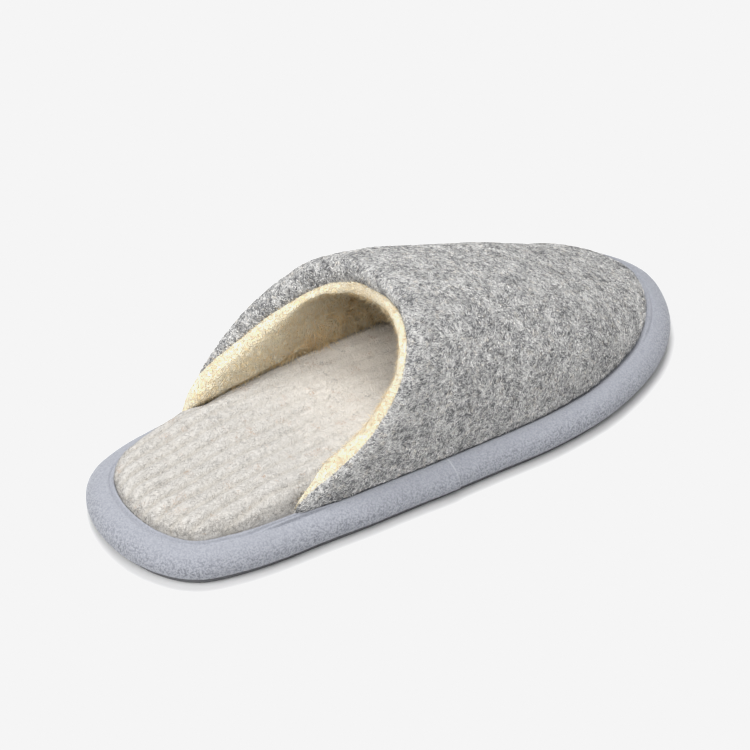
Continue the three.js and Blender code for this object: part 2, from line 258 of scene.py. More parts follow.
def new_object(name, points, faces, material, layer=None):
    """A mesh object from points in millimetres; layer is a pair of numbers per point for its UV map."""
    points = np.asarray(points, float).reshape(-1, 3).copy()
    points[:, 2] += spring(points[:, 1])
    mesh = bpy.data.meshes.new(name)
    mesh.from_pydata((points * MM).tolist(), [], faces)
    mesh.validate()
    mesh.update()
    mesh.polygons.foreach_set("use_smooth", [True] * len(mesh.polygons))
    if layer is not None:
        corner = np.zeros(len(mesh.loops), int)
        mesh.loops.foreach_get("vertex_index", corner)
        uv = mesh.uv_layers.new(name="grain")
        uv.data.foreach_set("uv", (np.asarray(layer, float).reshape(-1, 2)[corner] * MM).ravel())
    obj = bpy.data.objects.new(name, mesh)
    bpy.context.scene.collection.objects.link(obj)
    if material is not None:
        mesh.materials.append(material)
    return obj


def grid_faces(rows, columns, closed_columns=False):
    last = columns if closed_columns else columns - 1
    return [
        (r * columns + c, r * columns + (c + 1) % columns,
         (r + 1) * columns + (c + 1) % columns, (r + 1) * columns + c)
        for r in range(rows - 1) for c in range(last)
    ]


def side_faces(count, columns):
    """Closes the first and the last column of a grid whose rows go out and back again."""
    faces = []
    for column, way in ((0, 1), (columns - 1, -1)):
        for i in range((count - 1) // 2):
            rows = (i, i + 1, count - 2 - i, count - 1 - i)
            quad = list(dict.fromkeys(row * columns + column for row in rows))
            faces.append(tuple(quad[::way]))
    return faces


def turned(faces):
    return [tuple(reversed(face)) for face in faces]


def ring_cap(ring):
    """Quads across a closed ring, from its outer side to its inner side."""
    count, faces = len(ring), []
    for i in range(count // 2):
        quad = [ring[i], ring[i + 1], ring[count - i - 1], ring[(count - i) % count]]
        faces.append(tuple(dict.fromkeys(quad)))
    return faces


def end_caps(count, columns):
    """Closes the first and the last ring of a grid of rings."""
    first, last = list(range(columns)), list(range((count - 1) * columns, count * columns))
    return turned(ring_cap(first)) + ring_cap(last)


def merge_doubles(obj):
    shell = bmesh.new()
    shell.from_mesh(obj.data)
    bmesh.ops.remove_doubles(shell, verts=shell.verts, dist=1e-6)
    bmesh.ops.recalc_face_normals(shell, faces=shell.faces)
    shell.to_mesh(obj.data)
    shell.free()


def dress(obj, node):
    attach(obj, "root")
    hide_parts(node)
    return obj


# Fibres
class Tree:
    """A Geometry Nodes tree, made in steps, whose last steps are Realize Instances and Set Material."""

    def __init__(self, name, **inputs):
        self.tree = bpy.data.node_groups.new(name, "GeometryNodeTree")
        face = self.tree.interface
        face.new_socket("Geometry", in_out="INPUT", socket_type="NodeSocketGeometry")
        for label, kind in inputs.items():
            face.new_socket(label, in_out="INPUT", socket_type=f"NodeSocket{kind}")
        face.new_socket("Geometry", in_out="OUTPUT", socket_type="NodeSocketGeometry")
        self.inlet = self.tree.nodes.new("NodeGroupInput").outputs

    def node(self, kind, settings=None, **values):
        made = self.tree.nodes.new(kind)
        for key, value in (settings or {}).items():
            setattr(made, key, value)
        for key, value in values.items():
            socket = next(
                s for s in made.inputs if s.enabled and key in (s.identifier, s.name.replace(" ", "_"))
            )
            if isinstance(value, bpy.types.NodeSocket):
                self.tree.links.new(value, socket)
            else:
                socket.default_value = value
        return [s for s in made.outputs if s.enabled]

    def number(self, operation, a, b):
        return self.node("ShaderNodeMath", {"operation": operation}, Value=a, Value_001=b)[0]

    def vector(self, operation, vector, **other):
        return self.node("ShaderNodeVectorMath", {"operation": operation}, Vector=vector, **other)[0]

    def random(self, data_type, **values):
        return self.node("FunctionNodeRandomValue", {"data_type": data_type}, **values)[0]

    def attribute(self, name, data_type):
        return self.node("GeometryNodeInputNamedAttribute", {"data_type": data_type}, Name=name)[0]

    def close(self, geometry, material):
        whole = self.node("GeometryNodeRealizeInstances", Geometry=geometry)[0]
        painted = self.node("GeometryNodeSetMaterial", Geometry=whole, Material=material)[0]
        self.tree.links.new(painted, self.tree.nodes.new("NodeGroupOutput").inputs[0])
        return self.tree


FIBRE_SIZES = (0.55, 1.15)
SIZE_SEED, TONE_SEED, SPIN_SEED = 3, 5, 7


def fibre_tree():
    """Short bent fibres all over a surface. The surface's attributes say where and which way:
    cover is the share of the full number, stature of the full size, comb the way that they lie."""
    t = Tree(
        "fibre_cover", Number="Float", Length="Float", Width="Float", Bend="Float", Ruffle="Float",
        Lift="Float", Joints="Int", Seed="Int", Finish="Material",
    )
    length, seed = t.inlet["Length"], t.inlet["Seed"]
    cover = t.attribute("cover", "FLOAT")
    stature = t.attribute("stature", "FLOAT")
    comb = t.attribute("comb", "FLOAT_VECTOR")
    density = t.number("MULTIPLY", t.inlet["Number"], cover)
    spots, normal = t.node(
        "GeometryNodeDistributePointsOnFaces", Mesh=t.inlet["Geometry"], Density=density, Seed=seed
    )[:2]
    stray = t.random("FLOAT_VECTOR", Min=(-1, -1, -1), Max=(1, 1, 1), Seed=seed)
    ruffled = t.vector("SCALE", stray, Scale=t.inlet["Ruffle"])
    strewn = t.vector("ADD", comb, Vector_001=ruffled)
    upward = t.vector("PROJECT", strewn, Vector_001=normal)
    flat = t.vector("NORMALIZE", t.vector("SUBTRACT", strewn, Vector_001=upward))
    lift = t.vector("SCALE", normal, Scale=t.inlet["Lift"])
    way = t.vector("ADD", flat, Vector_001=lift)
    spin = t.random("FLOAT", Max=2 * math.pi, Seed=SPIN_SEED)
    spun = t.node("ShaderNodeCombineXYZ", Z=spin)[0]
    aim = t.node("FunctionNodeAlignRotationToVector", {"axis": "Z"}, Rotation=spun, Vector=way)[0]
    cone = t.node(
        "GeometryNodeMeshCone", {"fill_type": "NGON"}, Vertices=3, Side_Segments=t.inlet["Joints"],
        Radius_Top=0.0, Radius_Bottom=t.inlet["Width"], Depth=length,
    )[0]
    height = t.node("ShaderNodeSeparateXYZ", Vector=t.node("GeometryNodeInputPosition")[0])[2]
    curl = t.number("POWER", t.number("DIVIDE", height, length), 2.0)
    shift = t.node("ShaderNodeCombineXYZ", X=t.number("MULTIPLY", curl, t.inlet["Bend"]))[0]
    bent = t.node("GeometryNodeSetPosition", Geometry=cone, Offset=shift)[0]
    chance = t.random("FLOAT", Min=FIBRE_SIZES[0], Max=FIBRE_SIZES[1], Seed=SIZE_SEED)
    size = t.number("MULTIPLY", chance, stature)
    placed = t.node("GeometryNodeInstanceOnPoints", Points=spots, Instance=bent, Rotation=aim, Scale=size)[0]
    tone = t.random("FLOAT", Seed=TONE_SEED)
    toned = t.node(
        "GeometryNodeStoreNamedAttribute", {"data_type": "FLOAT", "domain": "INSTANCE"},
        Geometry=placed, Name="tone", Value=tone,
    )[0]
    return t.close(toned, t.inlet["Finish"])


FIBRE_TREE = fibre_tree()


# Fibres to the square centimetre, their length, width and bend in millimetres, how unruly they
# lie, how steeply they stand and how many joints they bend in.
FELT_FIBRES = dict(per_cm2=190, length=1.6, width=0.26, bend=0, ruffle=0.8, lift=0.12, joints=1)
PILE_FIBRES = dict(per_cm2=82, length=5.6, width=0.34, bend=2.6, ruffle=0.8, lift=0.75, joints=2)
WOOL_FIBRES = dict(per_cm2=125, length=1.6, width=0.19, bend=0, ruffle=1.4, lift=0.05, joints=1)
FELT_SEED, PILE_SEED, WOOL_SEED = 10, 20, 31


def fibres(name, points, comb, cover, stature, material, kind, seed):
    """A plain mesh of fibres of one kind that grow from a grid of points."""
    bed = new_object("bed_of_" + name, points, grid_faces(*points.shape[:2]), None)
    for label, data_type, field, values in (
        ("comb", "FLOAT_VECTOR", "vector", comb), ("cover", "FLOAT", "value", cover),
        ("stature", "FLOAT", "value", stature),
    ):
        layer = bed.data.attributes.new(label, data_type, "POINT")
        layer.data.foreach_set(field, np.asarray(values, float).ravel())
    growth = bed.modifiers.new("fibres", "NODES")
    growth.node_group = FIBRE_TREE
    sizes = {
        "Number": kind["per_cm2"] * 1e4, "Length": kind["length"] * MM, "Width": kind["width"] * MM / 2,
        "Bend": kind["bend"] * MM, "Ruffle": kind["ruffle"], "Lift": kind["lift"],
        "Joints": kind["joints"], "Seed": seed, "Finish": material,
    }
    for item in FIBRE_TREE.interface.items_tree:
        if item.in_out == "INPUT" and item.name in sizes:
            growth[item.identifier] = sizes[item.name]
    bpy.context.view_layer.update()
    mesh = bpy.data.meshes.new_from_object(bed.evaluated_get(bpy.context.evaluated_depsgraph_get()))
    bpy.data.objects.remove(bed)
    mesh.name = name
    mesh.polygons.foreach_set("use_smooth", [True] * len(mesh.polygons))
    obj = bpy.data.objects.new(name, mesh)
    bpy.context.scene.collection.objects.link(obj)
    return obj


# Material maths
class Value:
    """A shader socket that adds Math nodes when it is used in an expression."""

    def __init__(self, finish, socket):
        self.finish, self.socket = finish, socket

    def _math(self, operation, *others):
        return self.finish.node("ShaderNodeMath", {"operation": operation}, *others)

    def __add__(self, other):
        return self._math("ADD", self, other)

    __radd__ = __add__

    def __mul__(self, other):
        return self._math("MULTIPLY", self, other)

    __rmul__ = __mul__

    def __sub__(self, other):
        return self._math("SUBTRACT", self, other)

    def __rsub__(self, other):
        return self._math("SUBTRACT", other, self)

    def __abs__(self):
        return self._math("ABSOLUTE", self)

    def atmost(self, other):
        return self._math("MINIMUM", self, other)

    def ramp(self, low, high, to_low=0.0, to_high=1.0):
        """Runs smoothly from to_low to to_high as the value goes from low to high."""
        return self.finish.node(
            "ShaderNodeMapRange", {"interpolation_type": "SMOOTHSTEP"}, self, low, high, to_low, to_high
        )


class Finish:
    """One node material, made in steps."""

    def __init__(self, name):
        self.material = bpy.data.materials.new(name)
        self.material.use_nodes = True
        self.tree = self.material.node_tree
        self.tree.nodes.clear()

    def node(self, kind, settings, *values, output=0, **named):
        made = self.tree.nodes.new(kind)
        for key, value in settings.items():
            setattr(made, key, value)
        for key, value in [*enumerate(values), *named.items()]:
            socket = made.inputs[key if isinstance(key, int) else key.replace("_", " ")]
            if isinstance(value, Value):
                self.tree.links.new(value.socket, socket)
            else:
                socket.default_value = value
        return Value(self, made.outputs[output]) if len(made.outputs) else None

    def place(self):
        """Object coordinates in millimetres."""
        return self.in_millimetres(self.node("ShaderNodeTexCoord", {}, output="Object"))

    def grain(self):
        """The piece's own UV map in millimetres."""
        return self.in_millimetres(self.node("ShaderNodeUVMap", {"uv_map": "grain"}))

    def tone(self):
        """A number from 0 to 1 that each fibre has for itself."""
        return self.node("ShaderNodeAttribute", {"attribute_name": "tone"}, output="Fac")

    def in_millimetres(self, vector):
        return self.node("ShaderNodeVectorMath", {"operation": "MULTIPLY"}, vector, (1 / MM,) * 3)

    def moved(self, vector, by):
        return self.node("ShaderNodeVectorMath", {"operation": "ADD"}, vector, by)

    def parts(self, vector):
        made = self.tree.nodes.new("ShaderNodeSeparateXYZ")
        self.tree.links.new(vector.socket, made.inputs[0])
        return [Value(self, out) for out in made.outputs]

    def joined(self, x, y, z):
        return self.node("ShaderNodeCombineXYZ", {}, x, y, z)

    def noise(self, vector, size, detail=2.0, roughness=0.5, distortion=0.0):
        """Noise from 0 to 1 with lumps of a size in millimetres."""
        return self.node(
            "ShaderNodeTexNoise", {}, Vector=vector, Scale=1.0 / size, Detail=detail,
            Roughness=roughness, Distortion=distortion,
        )

    def threads(self, vector, size, width, distortion):
        """Thin curled lines, 1 on a line and 0 away from it."""
        value = self.noise(vector, size, detail=1.0, distortion=distortion)
        return abs(value - 0.5).ramp(0.0, width, 1.0, 0.0)

    def blend(self, share, a, b, mode="MIX"):
        """Mixes two colours."""
        made = self.tree.nodes.new("ShaderNodeMix")
        made.data_type, made.blend_type = "RGBA", mode
        for index, value in ((0, share), (6, a), (7, b)):
            if isinstance(value, Value):
                self.tree.links.new(value.socket, made.inputs[index])
            else:
                made.inputs[index].default_value = value if index == 0 else (*value, 1.0)
        return Value(self, made.outputs[2])

    def cloth(self, colour, height, depth_mm, roughness, sheen, sheen_colour=(1, 1, 1), through=0.0):
        """Closes the material: colour and height vary over the surface, the rest is set on the shader.
        Through is the share of the light that a thin fibre lets pass."""
        bump = self.node(
            "ShaderNodeBump", {}, Strength=1.0, Distance=depth_mm * MM, Height=height, output="Normal"
        )
        shader = self.node(
            "ShaderNodeBsdfPrincipled", {}, Base_Color=colour, Roughness=roughness, Normal=bump,
            Sheen_Weight=sheen, Sheen_Roughness=0.5, Sheen_Tint=(*sheen_colour, 1.0),
            Specular_IOR_Level=0.15,
        )
        if through:
            glow = self.node("ShaderNodeBsdfTranslucent", {}, Color=colour)
            shader = self.node("ShaderNodeMixShader", {}, through, shader, glow)
        self.node("ShaderNodeOutputMaterial", {}, shader)
        return self.material


# Materials: colours of the felt, pile, footbed wool, rim cover, outsole and table
FELT_SHADOW, FELT_LIGHT = (0.345, 0.345, 0.355), (0.59, 0.585, 0.575)
FELT_PALE_FIBRE, FELT_DARK_FIBRE = (0.66, 0.65, 0.63), (0.075, 0.078, 0.085)
CHARCOAL, MIDDLE_GREY, NEAR_WHITE = (0.1, 0.103, 0.11), (0.45, 0.45, 0.455), (0.90, 0.89, 0.87)
WARM_TINGE = (1.0, 0.93, 0.84)
# The first pile colour is a straw tone that also serves as painted shade between the tufts.
PILE_STRAW_AND_SHADE, PILE_CREAM, PILE_PALE_HAIR = (0.97, 0.77, 0.44), (0.98, 0.88, 0.62), (0.98, 0.92, 0.76)
STRAW_FIBRE, CREAM_FIBRE = (0.97, 0.76, 0.42), (0.99, 0.92, 0.73)
WOOL_SHADE, WOOL_WHITE = (0.47, 0.445, 0.41), (0.52, 0.50, 0.47)
WOOL_CLOUD, WOOL_FUZZ = (0.47, 0.455, 0.435), (0.59, 0.575, 0.55)
# The first of these is painted light for the wool under the upper; the second is painted shade for the rib
# grooves.
WOOL_PAINTED_LIGHT_UNDER_UPPER, WOOL_GROOVE_PAINTED_SHADE = (0.69, 0.64, 0.575), (0.36, 0.33, 0.28)
WOOL_GREY_FLECK, WOOL_BROWN_FLECK = (0.2, 0.195, 0.19), (0.36, 0.2, 0.11)
WOOL_FIBRE_SHADE, WOOL_FIBRE_WHITE = (0.455, 0.435, 0.405), (0.53, 0.51, 0.485)
# Painted light for the footbed fibres under the upper.
WOOL_FIBRE_PAINTED_LIGHT_UNDER_UPPER = (0.71, 0.66, 0.59)
WOOL_FIBRE_GREY, WOOL_FIBRE_BROWN = (0.33, 0.325, 0.32), (0.42, 0.29, 0.19)
SUEDE_DARK, SUEDE_LIGHT = (0.24, 0.25, 0.282), (0.335, 0.345, 0.382)
# The low dark suede colour is a coarser grain and also painted shade on the rim's lower side.
SUEDE_LOW_DARK_AND_SHADED, SUEDE_LOW_LIGHT = (0.10, 0.105, 0.125), (0.33, 0.34, 0.37)
# The last of these is a painted highlight for the edge of the cover's lap.
SUEDE_NAP, SUEDE_CLOUD, SUEDE_LAP_HIGHLIGHT = (0.31, 0.32, 0.355), (0.285, 0.295, 0.33), (0.55, 0.56, 0.60)
RUBBER_DARK, RUBBER_LIGHT = (0.13, 0.132, 0.14), (0.18, 0.182, 0.19)
PAPER_SHADE, PAPER_LIGHT = (0.76, 0.76, 0.76), (0.765, 0.765, 0.765)
WARM_SHEEN, COOL_SHEEN = (1.0, 0.93, 0.8), (0.92, 0.94, 1.0)
PILE_LETS_THROUGH = 0.4

# The footbed wool grows lighter between these two places along the foot: painted light for the wool under
# the upper.
PAINTED_LIGHT_FROM, PAINTED_LIGHT_TO = -75.0, 5.0


def melange(f, place):
    """Shares of dark and of light fibres in grey wool, as curled broken lines."""
    breaks = f.noise(f.moved(place, (17, 2, 8)), 2.6, 2.0).ramp(0.4, 0.56)
    other_breaks = f.noise(f.moved(place, (2, 57, 8)), 2.6, 2.0).ramp(0.4, 0.56)
    coarse_dark = f.threads(place, 2.8, 0.14, 2.0) * breaks
    fine_dark = f.threads(f.moved(place, (31, 7, 5)), 2.0, 0.15, 1.4) * other_breaks
    coarse_light = f.threads(f.moved(place, (3, 41, 17)), 2.6, 0.15, 1.8)
    fine_light = f.threads(f.moved(place, (9, 2, 60)), 1.9, 0.15, 1.2)
    return coarse_dark + fine_dark * 0.7, coarse_light + fine_light * 0.7


def grey_felt():
    """Grey melange wool: light and dark curled fibres over a mottled ground."""
    f = Finish("grey_melange_felt")
    place = f.place()
    dark, light = melange(f, place)
    clouds = f.noise(place, 10.0, 3.0).ramp(0.3, 0.7, -1.0, 1.0)
    patches = f.noise(f.moved(place, (50, 0, 0)), 3.5, 2.0).ramp(0.3, 0.7, -1.0, 1.0)
    ground = (clouds * 0.5 + patches * 0.5) * 0.5 + 0.5
    colour = f.blend(ground, FELT_SHADOW, FELT_LIGHT)
    colour = f.blend((light * 0.6).atmost(0.8), colour, FELT_PALE_FIBRE)
    colour = f.blend((dark * 0.8).atmost(0.9), colour, FELT_DARK_FIBRE)
    height = light * 0.6 + patches * 0.25 - dark * 0.5 + f.noise(place, 0.8, 2.0) * 0.4
    return f.cloth(colour, height, 0.5, 0.95, sheen=0.25)


def felt_fibre():
    """Single wool fibres, from near white to charcoal."""
    f = Finish("grey_wool_fibre")
    tone = f.tone()
    mottle = f.noise(f.place(), 6.0, 3.0).ramp(0.3, 0.7, -0.2, 0.2)
    pick = tone + mottle
    colour = f.blend(pick.ramp(0.12, 0.38), CHARCOAL, MIDDLE_GREY)
    colour = f.blend(pick.ramp(0.4, 0.8), colour, NEAR_WHITE)
    warm = f.noise(f.moved(f.place(), (40, 4, 9)), 2.2, 2.0).ramp(0.55, 0.65, 0.0, 0.6)
    colour = f.blend(warm, colour, WARM_TINGE, mode="MULTIPLY")
    return f.cloth(colour, f.noise(f.place(), 0.6), 0.1, 0.9, sheen=0.2)


def cream_pile():
    """Cream wool pile: warm, soft, darker between the tufts, where a straw tone is painted shade."""
    f = Finish("cream_wool_pile")
    place = f.place()
    tufts = f.noise(place, 6.0, 3.0, distortion=0.8)
    hairs = f.threads(place, 2.4, 0.16, 2.0) + f.threads(f.moved(place, (7, 3, 9)), 1.8, 0.15, 1.5) * 0.6
    # Painted shade: the hollows between the tufts, low in the bump, take the darker straw tone.
    colour = f.blend(tufts.ramp(0.3, 0.7), PILE_STRAW_AND_SHADE, PILE_CREAM)
    colour = f.blend((hairs * 0.6).atmost(0.8), colour, PILE_PALE_HAIR)
    return f.cloth(colour, tufts * 1.2 + hairs * 0.5, 1.0, 0.95, sheen=0.8, sheen_colour=WARM_SHEEN)


def pile_fibre():
    """Single pile fibres, cream to straw."""
    f = Finish("cream_wool_fibre")
    tone = f.tone()
    tufts = f.noise(f.place(), 9.0, 2.0, distortion=0.6).ramp(0.3, 0.7, -0.2, 0.2)
    colour = f.blend((tone * 0.8 + tufts + 0.1).ramp(0.0, 1.0), STRAW_FIBRE, CREAM_FIBRE)
    grain = f.noise(f.place(), 0.8)
    return f.cloth(colour, grain, 0.1, 0.9, sheen=0.5, sheen_colour=WARM_SHEEN, through=PILE_LETS_THROUGH)


def ribbed_wool():
    """Off-white wool: soft loops along the ribs, a few grey and brown fibres, painted lighter under the
    upper as painted light, and with painted shade in the rib grooves.
    """
    f = Finish("off_white_ribbed_wool")
    place = f.place()
    across, along, _ = f.parts(f.grain())
    groove = f.node("ShaderNodeMath", {"operation": "PINGPONG"}, across, RIB_PITCH / 2).ramp(1.4, 3.0)
    loops = f.noise(f.joined(across * 0.9 + along * 0.35, along * 0.55, 0.0), 2.0, 2.0, distortion=0.6)
    fuzz = f.threads(place, 2.2, 0.15, 1.8) + f.threads(f.moved(place, (3, 8, 1)), 1.5, 0.15, 1.2) * 0.6
    clouds = f.noise(place, 14.0, 3.0)
    rare = f.noise(f.moved(place, (1, 1, 1)), 5.0, 2.0).ramp(0.56, 0.64)
    flecks = f.threads(f.moved(place, (13, 5, 2)), 3.0, 0.06, 2.5) * rare
    rarer = f.noise(f.moved(place, (9, 1, 1)), 6.0, 2.0).ramp(0.58, 0.66)
    brown = f.threads(f.moved(place, (3, 55, 2)), 3.0, 0.05, 2.5) * rarer
    colour = f.blend(loops.ramp(0.25, 0.75), WOOL_SHADE, WOOL_WHITE)
    colour = f.blend(clouds.ramp(0.35, 0.65, 0.0, 0.3), colour, WOOL_CLOUD)
    colour = f.blend((fuzz * 0.3).atmost(0.5), colour, WOOL_FUZZ)
    _, forward, _ = f.parts(place)
    # Painted light: the wool under the upper is made lighter, standing in for light that does not reach it.
    colour = f.blend(forward.ramp(PAINTED_LIGHT_FROM, PAINTED_LIGHT_TO), colour, WOOL_PAINTED_LIGHT_UNDER_UPPER)
    # Painted shade: the rib grooves are darkened, most towards the heel.
    colour = f.blend(groove * forward.ramp(-100.0, -20.0, 0.42, 0.12), colour, WOOL_GROOVE_PAINTED_SHADE)
    colour = f.blend(flecks * 0.6, colour, WOOL_GREY_FLECK)
    colour = f.blend(brown * 0.6, colour, WOOL_BROWN_FLECK)
    return f.cloth(colour, loops * 1.0 + fuzz * 0.4, 0.35, 0.95, sheen=0.2)


def wool_fibre():
    """Single fibres of the footbed, off-white, a few grey or brown, painted lighter under the upper as
    painted light.
    """
    f = Finish("off_white_wool_fibre")
    tone = f.tone()
    _, along, _ = f.parts(f.place())
    inner = along.ramp(PAINTED_LIGHT_FROM, PAINTED_LIGHT_TO)
    colour = f.blend(tone.ramp(0.0, 1.0), WOOL_FIBRE_SHADE, WOOL_FIBRE_WHITE)
    # Painted light: the fibres under the upper are made lighter, standing in for light that does not reach
    # them.
    colour = f.blend(inner, colour, WOOL_FIBRE_PAINTED_LIGHT_UNDER_UPPER)
    colour = f.blend(tone.ramp(0.982, 0.986), colour, WOOL_FIBRE_GREY)
    colour = f.blend(tone.ramp(0.994, 0.996), colour, WOOL_FIBRE_BROWN)
    return f.cloth(colour, f.noise(f.place(), 0.6), 0.1, 0.9, sheen=0.2)


def blue_grey_suede():
    """Light blue-grey suede-like cloth: a short nap that catches light in fine specks, coarser low down on
    the rim and darker there with painted shade, and a painted highlight along the edge of the lap."""
    f = Finish("blue_grey_suede_cloth")
    place = f.place()
    from_lap, up, _ = f.parts(f.grain())
    low = up.ramp(4.0, 15.0, 1.0, 0.0)
    specks = f.noise(place, 0.7, 2.0, 0.6)
    nap = f.noise(f.moved(place, (5, 9, 2)), 1.5, 2.0)
    clouds = f.noise(place, 18.0, 3.0)
    # Painted highlight: a light line along the edge of the lapped end of the cover.
    lap_highlight = from_lap.ramp(0.25, 0.7, 1.0, 0.0) * up.ramp(1.0, 4.0)
    colour = f.blend(specks.ramp(0.32, 0.68), SUEDE_DARK, SUEDE_LIGHT)
    # The coarser grain low on the rim is also darker: painted shade on the rim's lower side.
    rough_and_shaded = f.blend(specks.ramp(0.4, 0.6), SUEDE_LOW_DARK_AND_SHADED, SUEDE_LOW_LIGHT)
    colour = f.blend(low * 0.85, colour, rough_and_shaded)
    colour = f.blend(nap.ramp(0.35, 0.65, 0.0, 0.4), colour, SUEDE_NAP)
    colour = f.blend(clouds.ramp(0.3, 0.7, 0.0, 0.25), colour, SUEDE_CLOUD)
    colour = f.blend(lap_highlight * 0.5, colour, SUEDE_LAP_HIGHLIGHT)
    height = specks * (0.5 + low * 0.8) + nap * 0.6
    return f.cloth(colour, height, 0.35, 0.9, sheen=0.35, sheen_colour=COOL_SHEEN)


def outsole_rubber():
    """Matt dark grey sheet with a fine grain of small dimples."""
    f = Finish("dark_grey_rubber")
    place = f.place()
    dimples = f.node("ShaderNodeTexVoronoi", {"feature": "F1"}, Vector=place, Scale=0.45, output="Distance")
    grain = f.noise(place, 1.2, 3.0)
    colour = f.blend(f.noise(place, 25.0, 3.0), RUBBER_DARK, RUBBER_LIGHT)
    height = dimples.ramp(0.1, 0.5, 0.0, 1.0) + grain * 0.3
    return f.cloth(colour, height, 0.4, 0.75, sheen=0.0)


def studio_paper():
    """A pale matt table, almost even."""
    f = Finish("studio_floor")
    colour = f.blend(f.noise(f.place(), 400.0), PAPER_SHADE, PAPER_LIGHT)
    shader = f.node(
        "ShaderNodeBsdfPrincipled", {}, Base_Color=colour, Roughness=0.9, Specular_IOR_Level=0.0,
    )
    f.node("ShaderNodeOutputMaterial", {}, shader)
    return f.material


# Pieces
def collar_edge(arches):
    """Slant, thickness and place of the rolled edge over the foot."""
    slant = collar_slant(arches)
    thickness = smooth(COLLAR, "roll", arches / math.pi)
    place = collar_y(arches)
    way = np.diff(felt_point(place, arches, 0), axis=0)
    along = np.concatenate([[0], np.cumsum(np.linalg.norm(way, axis=1))])
    return slant, thickness, place, ROLLED_RIM_RADIUS / slant, along


def felt_grid(arches, length_rows, roll_rows):
    """Rows over the felt from toe to collar, round the rolled edge and back inside to the toe.
    Gives points, distance from the edge and distance along it."""
    slant, thickness, place, start, along = collar_edge(arches)
    rows, from_edge = [], []
    shares = np.sin(np.linspace(0, math.pi / 2, length_rows + 1))
    for q in shares[::-1]:
        y = mix(place + start, OUTSIDE_TOE_Y, q)
        rows.append(felt_point(y, arches, 0))
        from_edge.append((y - place) * slant)
    for roll in np.linspace(0, math.pi, roll_rows + 1)[1:-1]:
        y = place + start * (1 - math.sin(roll))
        rows.append(felt_point(y, arches, thickness * (1 - math.cos(roll)) / 2))
        from_edge.append(ROLLED_RIM_RADIUS * (1 - roll * 2 / math.pi) + 0 * arches)
    for q in shares:
        y = mix(place + start, INSIDE_TOE_Y, q)
        depth = mix(FELT_WALL, thickness, 1 - ease((y - place - start) * slant / ROLLED_RIM_DEPTH))
        rows.append(felt_point(y, arches, depth))
        from_edge.append(-ROLLED_RIM_RADIUS - (y - place) * slant)
    return np.array(rows), np.array(from_edge), along


def spaced_arches(count):
    """Arch angles over the foot, closer together near its two sides."""
    q = np.linspace(0, 1, count)
    return np.clip(math.pi * q - 0.4 * np.sin(2 * math.pi * q), 0, math.pi)


def swirl(points, size, seed):
    """A slowly turning direction at each point, as three numbers from about -1 to 1."""
    return np.stack([relief(points, size, seed + k * 17.0) for k in range(3)], -1) * 2.2


def unit(vectors):
    return vectors / np.maximum(np.linalg.norm(vectors, axis=-1, keepdims=True), 1e-9)


FELT_COLUMNS, FELT_ROWS, ROLL_ROWS = 190, 110, 16
FELT_SWELL = ((26.0, 3.0, 0.5), (9.0, 8.0, 0.22))
FELT_NAP = 0.16
FELT_SETTLES_OVER = 0.25
FLANK_ARCH, FLANK_SPAN = 2.15, 0.5
FLANK_SWELL = ((79, 13, 0.9), (48, 12, -0.4))
COMBED_FROM_EDGE = (5, 16)


def make_felt_upper(material):
    """The felt wall with its rolled edge, gently uneven. The flank on the hidden side swells a
    little, so that the skyline runs level, and the fibres lie combed along the rolled edge."""
    arches = spaced_arches(FELT_COLUMNS)
    points, from_edge, along = felt_grid(arches, FELT_ROWS, ROLL_ROWS)
    normals = grid_normals(points)
    settled = ease(np.minimum(arches, math.pi - arches) / FELT_SETTLES_OVER)
    swell = layered_relief(points, FELT_SWELL)
    flank = hump(arches, FLANK_ARCH, FLANK_SPAN)
    swell += flank * sum(rise * hump(points[..., 1], y, width) for y, width, rise in FLANK_SWELL)
    nap = relief(points, 1.6, 2.0, octaves=2) * FELT_NAP
    points = points - normals * ((swell * settled + nap)[..., None])
    count, columns = points.shape[:2]
    points[0], points[-1] = points[0].mean(0), points[-1].mean(0)
    layer = np.stack([from_edge, np.broadcast_to(along, from_edge.shape)], -1)
    faces = grid_faces(count, columns) + side_faces(count, columns)
    obj = new_object("felt_upper", points, faces, material, layer)
    merge_doubles(obj)
    dress(obj, "upper")
    shown = slice(2, FELT_ROWS + ROLL_ROWS - 2)
    outside, normal = points[shown], -grid_normals(points)[shown]
    edge_share = 1 - past(from_edge[shown], *COMBED_FROM_EDGE)
    lengthwise = unit(np.gradient(outside, axis=0))
    stray = swirl(outside, 7.0, 40.0)
    stray -= normal * (stray * normal).sum(-1, keepdims=True)
    comb = unit(mix(stray, lengthwise, 0.75 * edge_share[..., None] + 0.1))
    cover = np.ones(outside.shape[:2])
    finish = felt_fibre()
    for number in (1, 2):
        name = f"felt_fibres_{number}"
        hairs = fibres(name, outside, comb, cover, cover, finish, FELT_FIBRES, FELT_SEED + number)
        dress(hairs, "upper")


PILE = {
    "at": [0, 0.06, 0.12, 0.2, 0.35, 0.5, 0.62, 0.74, 0.86, 0.93, 1],
    "band": [9.0, 9.0, 7.0, 4.6, 4.2, 4.4, 5.2, 6.5, 7.0, 6.5, 6.0],
    "start": [0.6, 0.6, 0.7, 0.75, 0.78, 0.8, 0.8, 0.8, 0.75, 0.35, -0.2],
    "front": [0.5, 0.0, -0.6, -1.2, -1.2, -0.6, 0.0, 0.0, -0.6, -2.2, -3.2],
}
LINING_COLUMNS, BAND_ROWS, WALL_ROWS = 180, 15, 61
WALL_CROWDING = 1.35
BAND_REACH = 3.4
BAND_ARC = 7.0
LINING_SHORT_OF_TOE = 14.0
LINING_IN_FELT = 0.4
PILE_INSIDE = 12.0
PILE_BULGE = 18.0
PILE_LEAST_SHARE = 0.52
PILE_LEAST_INSIDE = 0.25
PILE_BULGES_OVER = 12.0
PILE_GROWS_OVER = 40.0
PILE_OVER_FOOTBED = 0.8
PILE_ROLL = 26.0
